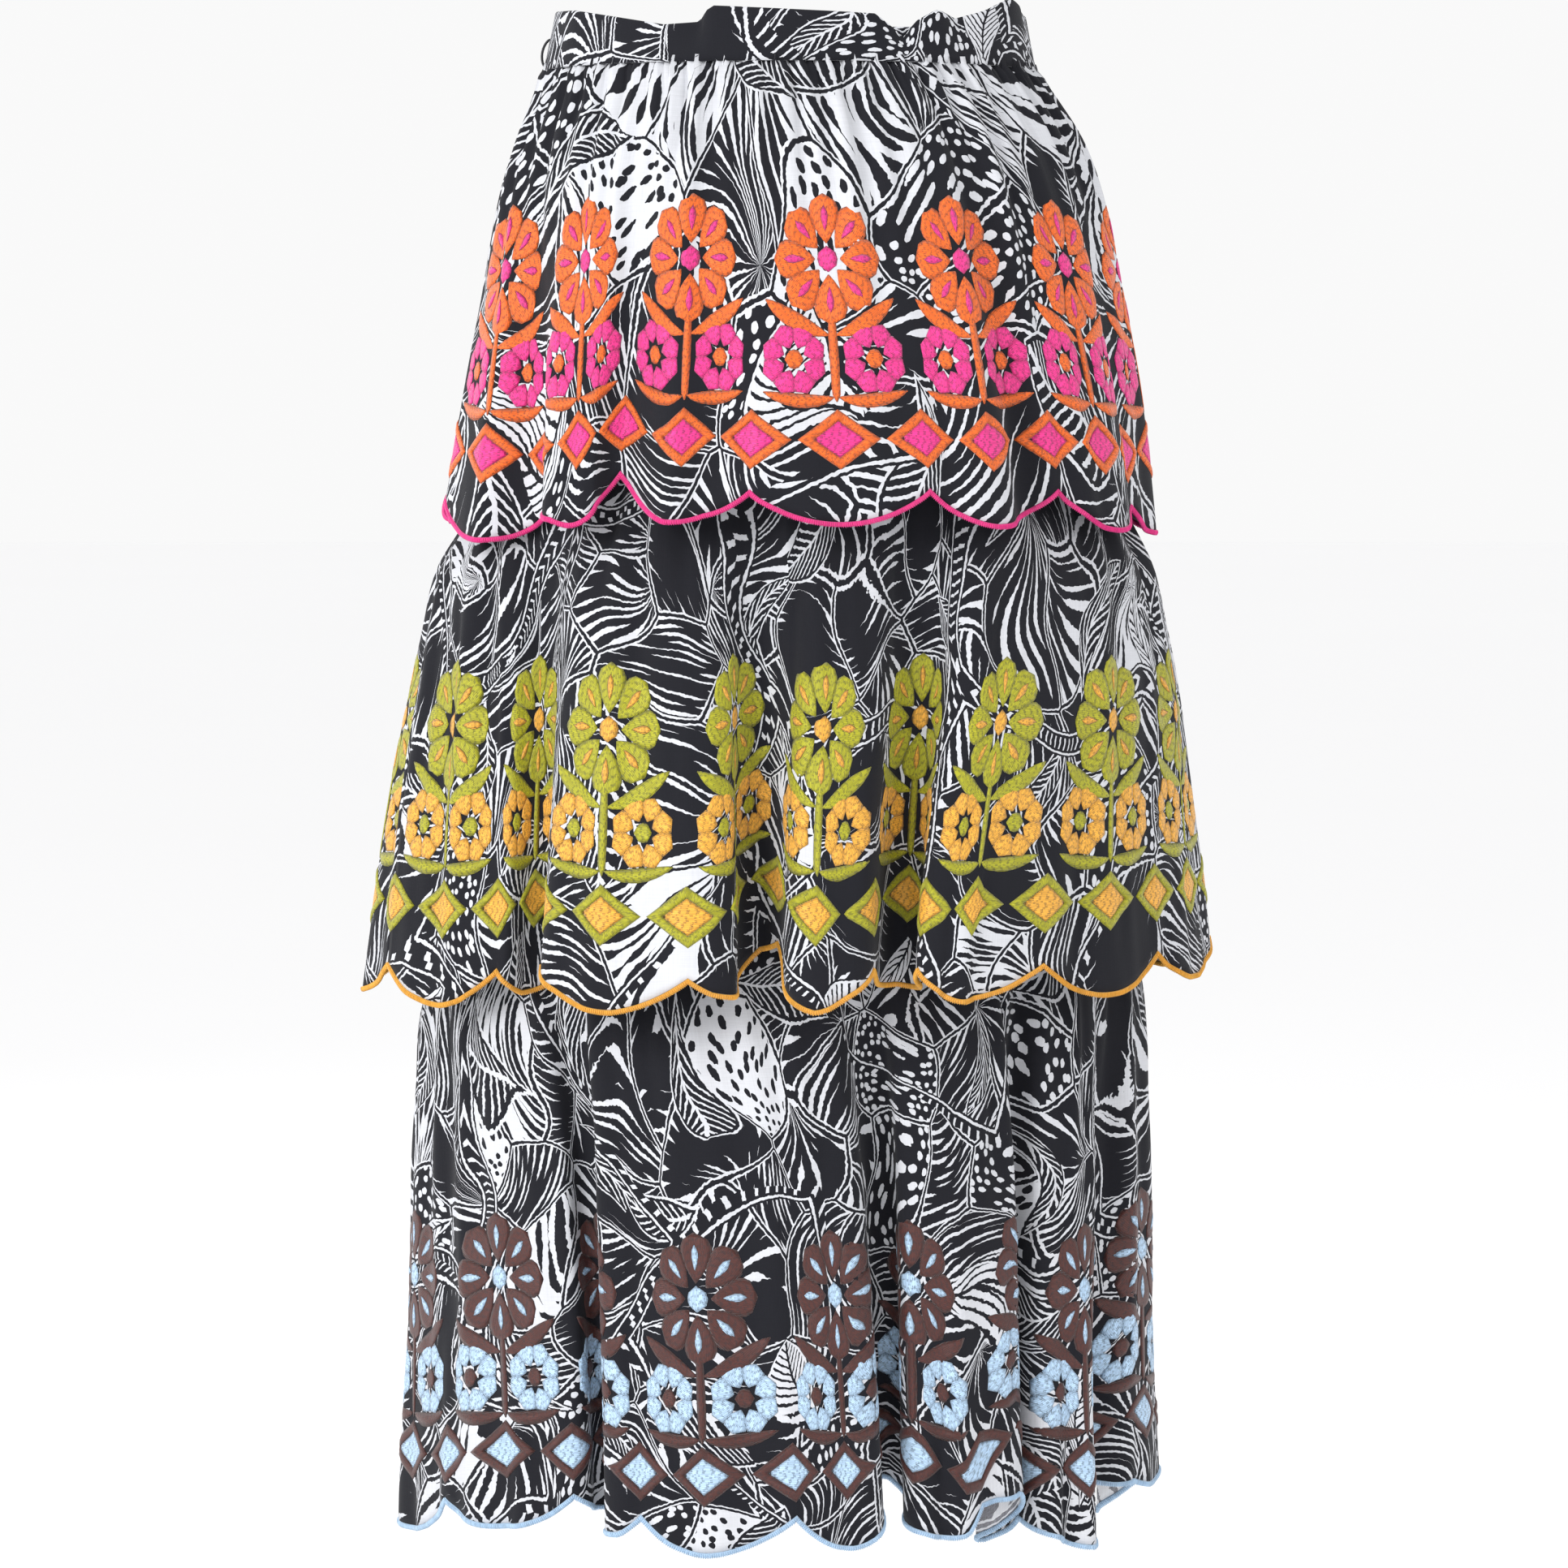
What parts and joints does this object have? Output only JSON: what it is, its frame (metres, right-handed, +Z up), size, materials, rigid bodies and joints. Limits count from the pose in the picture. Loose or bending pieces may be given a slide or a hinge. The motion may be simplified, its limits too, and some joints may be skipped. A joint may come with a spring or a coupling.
{
  "type": "pollera skirt",
  "caption": "Tiered, gathered folk skirt in block-printed cotton, each tier ending in a scalloped, embroidered hem; filled out as if worn, open at both ends.",
  "frame": {"origin": "the middle of the waist, at the height of the seam between the waistband and the top tier", "axes": "+Z up the wearer's body, -Y out of the front of the skirt, +X towards the wearer's left side"},
  "size_m": [0.4601, 0.394, 0.8283],
  "materials": {
    "printed_cotton": "matt plain-weave cotton with a two-tone block print",
    "plain_cotton": "matt undyed plain-weave cotton",
    "pink_thread": "soft-sheen satin-stitched thread",
    "yellow_thread": "soft-sheen satin-stitched thread",
    "blue_thread": "soft-sheen satin-stitched thread",
    "black_thread": "matt worked thread"
  },
  "bodies": {
    "root": {"waistband_front": "printed_cotton", "waistband_back": "printed_cotton", "top_tier_front": "printed_cotton", "top_tier_back": "printed_cotton", "middle_tier_front": "printed_cotton", "middle_tier_back": "printed_cotton", "bottom_tier_front": "printed_cotton", "bottom_tier_back": "printed_cotton", "upper_base_front": "plain_cotton", "upper_base_back": "plain_cotton", "lower_base_front": "plain_cotton", "lower_base_back": "plain_cotton", "hem_cord_top": "pink_thread", "hem_cord_middle": "yellow_thread", "hem_cord_bottom": "blue_thread", "side_loop": "black_thread"}
  },
  "joints": []
}
